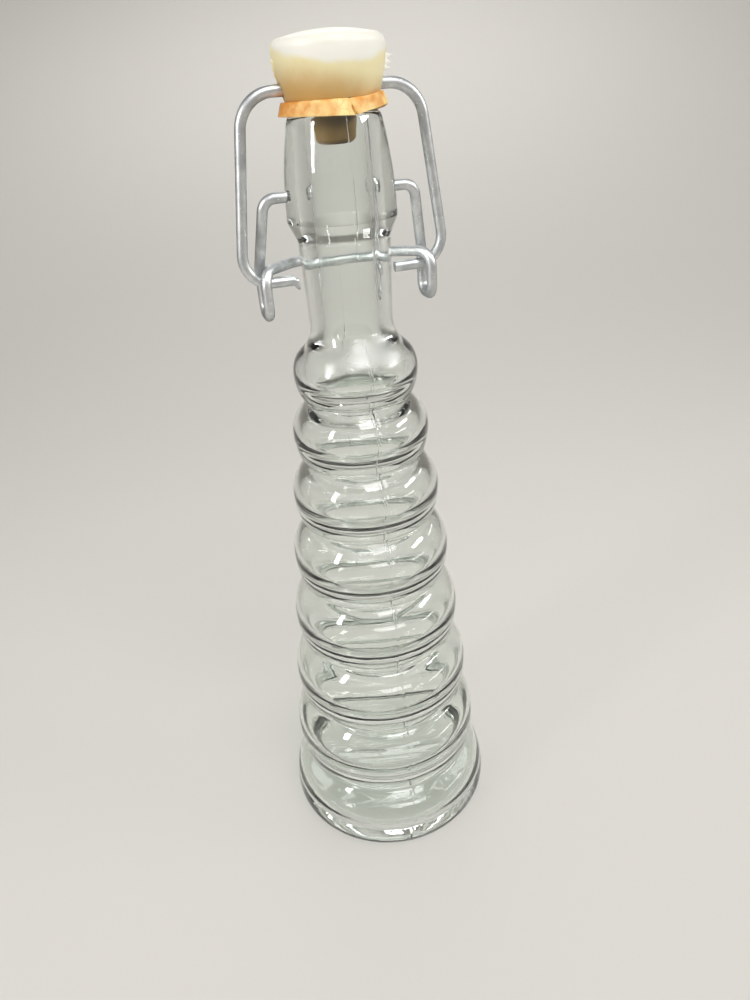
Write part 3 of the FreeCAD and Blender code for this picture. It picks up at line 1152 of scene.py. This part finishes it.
def rubber_piece():
    corners = [
        at(RUBBER_HOLE_RADIUS, LIP_HEIGHT),
        at(RUBBER_RADIUS, LIP_HEIGHT),
        at(RUBBER_TOP_RADIUS, STOPPER_BASE_HEIGHT),
        at(RUBBER_HOLE_RADIUS, STOPPER_BASE_HEIGHT),
    ]
    chain = [corners[0]]
    for start, corner, end in zip(corners, corners[1:], corners[2:]):
        cut_in = corner + (start - corner).normalized() * RUBBER_EDGE_ROUNDING
        cut_out = corner + (end - corner).normalized() * RUBBER_EDGE_ROUNDING
        chain += along_line(chain[-1], cut_in, RUBBER_STEP)
        # The edge is rounded by one point between its two cuts.
        chain += [cut_in.lerp(corner, 0.6).lerp(corner.lerp(cut_out, 0.4), 0.5), cut_out]
    chain += along_line(chain[-1], corners[3], RUBBER_STEP)
    chain += along_line(corners[3], corners[0], RUBBER_STEP)
    piece = draw_chain("rubber_ring", chain)
    spin_round(piece, [(360, RUBBER_STEPS)])

    def overhang(vertex):
        return min(max((radius_of(vertex) - FREE_EDGE_START) / FREE_EDGE_WIDTH, 0.0), 1.0)

    def high(vertex):
        share = (height_of(vertex) - LIP_HEIGHT) / (STOPPER_BASE_HEIGHT - LIP_HEIGHT)
        return min(max(share, 0.0), 1.0)

    def across(vertex):
        """How far to the side of the ring's front a place is: -1 is its left end, 1 its right."""
        return math.sin(math.radians(azimuth_of(vertex) - RUBBER_FRONT))

    def shown(vertex):
        """1 on the front half, falling to 0 behind."""
        towards_front = math.cos(math.radians(azimuth_of(vertex) - RUBBER_FRONT))
        return 1 - fade(towards_front, *BACK_FADE)

    def past_fold(vertex):
        return (across(vertex) - RUBBER_FOLD) / (1 - RUBBER_FOLD)

    def drooped(vertex):
        if past_fold(vertex) < 0:
            bend = (across(vertex) + 1) / (RUBBER_FOLD + 1)
        else:
            bend = 1 - past_fold(vertex) / LIFT_START
        return overhang(vertex) * shown(vertex) * max(bend, 0.0)

    def lifted(vertex):
        rise = (past_fold(vertex) - LIFT_START) / (1 - LIFT_START)
        return overhang(vertex) * shown(vertex) * max(rise, 0.0)

    fold_azimuth = math.degrees(math.asin(RUBBER_FOLD)) + RUBBER_FRONT

    def crack(vertex):
        """A tear that slants from the bottom edge at the fold to the top edge, a bit to the left."""
        middle = fold_azimuth - CRACK_LEAN * high(vertex)
        from_middle = abs(azimuth_of(vertex) - middle)
        return overhang(vertex) * fade(from_middle, CRACK_FLAT, CRACK_HALF_ANGLE)

    def dip(vertex):
        """The top edge sags on both sides of the tear."""
        from_crack = abs(azimuth_of(vertex) - fold_azimuth + CRACK_LEAN)
        return overhang(vertex) * high(vertex) * fade(from_crack, 0, DIP_HALF_ANGLE)

    push(piece, RUBBER_LUMPS, overhang, lump_spacing=RUBBER_LUMP_SPACING)
    push(piece, -CRACK_DEPTH, crack)
    push(piece, -DIP_DEPTH, dip, direction="Z")
    push(piece, -DROOP, drooped, direction="Z")
    push(piece, LIFT, lifted, direction="Z")
    smooth(piece, degrees=50)
    return piece


zinc = zinc_plated_wire()
stand_for(glass_piece(), "glass_bottle", "bottle", soda_lime_glass())
stand_for(lever_piece(), "lever_wire", "lever", zinc)
stand_for(bail_piece(), "bail_wire", "bail", zinc)
stand_for(stopper_piece(), "stopper", "stopper", cream_polypropylene())
stand_for(rubber_piece(), "gasket", "stopper", orange_rubber())

# Floor that curves up gently all round, light and camera

FLOOR_RADIUS = 350
FLOOR_CURVE = 2600
FLOOR_CURVE_ANGLE = 72.0
FLOOR_CURVE_STEPS = 30
FLOOR_TURN_STEPS = 96
CAMERA_PLACE = (-51.65, -202.43, 232.2)
CAMERA_HEADING = 15.0
CAMERA_PITCH = 28.0
CAMERA_ROLL = 4.65
FOCAL_LENGTH = 27.04
SENSOR_WIDTH = 36.0
NEAREST_VIEW = 5.0
LIGHT_BOUNCES = 24


def pale_floor():
    """Matt painted board."""
    material, tree = bare_material("pale_floor")
    matt = add_node(
        tree,
        "ShaderNodeBsdfPrincipled",
        {"Base Color": srgb("#D2CFC9"), "Roughness": 0.8},
    )
    add_node(tree, "ShaderNodeOutputMaterial", {"Surface": matt.outputs["BSDF"]})
    return material


curve_start = at(FLOOR_RADIUS, 0)
curve_centre = at(FLOOR_RADIUS, FLOOR_CURVE)
curve_angle = math.radians(FLOOR_CURVE_ANGLE)
curve_end = curve_centre + at(math.sin(curve_angle), -math.cos(curve_angle)) * FLOOR_CURVE
sweep = [at(0, 0), curve_start]
sweep += along_arc(curve_centre, curve_start, curve_end, FLOOR_CURVE / FLOOR_CURVE_STEPS)
floor = draw_chain("floor", sweep)
spin_round(floor, [(360, FLOOR_TURN_STEPS)])
smooth(floor, degrees=60)
floor.data.materials.append(pale_floor())


def soft_lamp(name, place, target, power, length, width, spread):
    """A soft box that faces a target, with a grid that narrows its light to a spread in degrees."""
    lamp = bpy.data.lights.new(name, "AREA")
    lamp.energy = power
    lamp.shape = "RECTANGLE"
    lamp.size = length
    lamp.size_y = width
    lamp.spread = math.radians(spread)
    holder = bpy.data.objects.new(name, lamp)
    holder.location = place
    holder.rotation_mode = "QUATERNION"
    holder.rotation_quaternion = (Vector(target) - Vector(place)).to_track_quat("-Z", "Y")
    bpy.context.scene.collection.objects.link(holder)


# Lamps, with their places in metres. The one behind lights the floor at the back.
SHOULDER = (0, 0, 0.15)
BEHIND = (0.35, 1.2, 0)
soft_lamp("overhead", (0.21, -1.2, 2.0), SHOULDER, power=8.2, length=1.25, width=0.95, spread=90)
soft_lamp("behind", (0.35, 1.2, 1.1), BEHIND, power=7.0, length=0.9, width=0.6, spread=180)
soft_lamp("right", (0.95, -0.4, 0.65), SHOULDER, power=0.6, length=0.5, width=0.12, spread=60)
soft_lamp("left", (-0.98, -0.4, 0.6), SHOULDER, power=0.75, length=0.12, width=0.5, spread=60)

# The sky is pale at the horizon and dark overhead, so that the glass has dark and bright lines.
world = bpy.data.worlds.new("studio")
bpy.context.scene.world = world
world.use_nodes = True
sky_tree = world.node_tree
sky_tree.nodes.clear()
direction = add_node(sky_tree, "ShaderNodeTexCoord").outputs["Generated"]
upward = add_node(sky_tree, "ShaderNodeSeparateXYZ", {"Vector": direction}).outputs["Z"]
climb = add_node(
    sky_tree,
    "ShaderNodeMapRange",
    {"Value": upward, "From Min": 0.45, "From Max": 0.9},
    interpolation_type="SMOOTHSTEP",
)
sky_colour = add_node(
    sky_tree,
    "ShaderNodeMix",
    {0: climb.outputs["Result"], 6: srgb("#F2F0EC"), 7: srgb("#3C4042")},
    data_type="RGBA",
)
sky = add_node(sky_tree, "ShaderNodeBackground", {"Color": sky_colour.outputs[2], "Strength": 0.75})
add_node(sky_tree, "ShaderNodeOutputWorld", {"Surface": sky.outputs["Background"]})

camera = bpy.data.objects.new("camera", bpy.data.cameras.new("camera"))
bpy.context.scene.collection.objects.link(camera)
bpy.context.scene.camera = camera
camera.data.lens = FOCAL_LENGTH
camera.data.sensor_width = SENSOR_WIDTH
camera.data.clip_start = NEAREST_VIEW * MM
camera.location = Vector(CAMERA_PLACE) * MM
heading = math.radians(CAMERA_HEADING)
pitch = math.radians(CAMERA_PITCH)
level = math.cos(pitch)
view_line = Vector((math.sin(heading) * level, math.cos(heading) * level, -math.sin(pitch)))
roll = Quaternion((0, 0, 1), math.radians(-CAMERA_ROLL))
camera.rotation_mode = "QUATERNION"
camera.rotation_quaternion = view_line.to_track_quat("-Z", "Y") @ roll

# Light passes many faces of the ringed glass before it is lost.
cycles = bpy.context.scene.cycles
cycles.max_bounces = LIGHT_BOUNCES
cycles.transmission_bounces = LIGHT_BOUNCES
cycles.caustics_reflective = False
cycles.caustics_refractive = False
bpy.context.scene.view_settings.view_transform = "Standard"
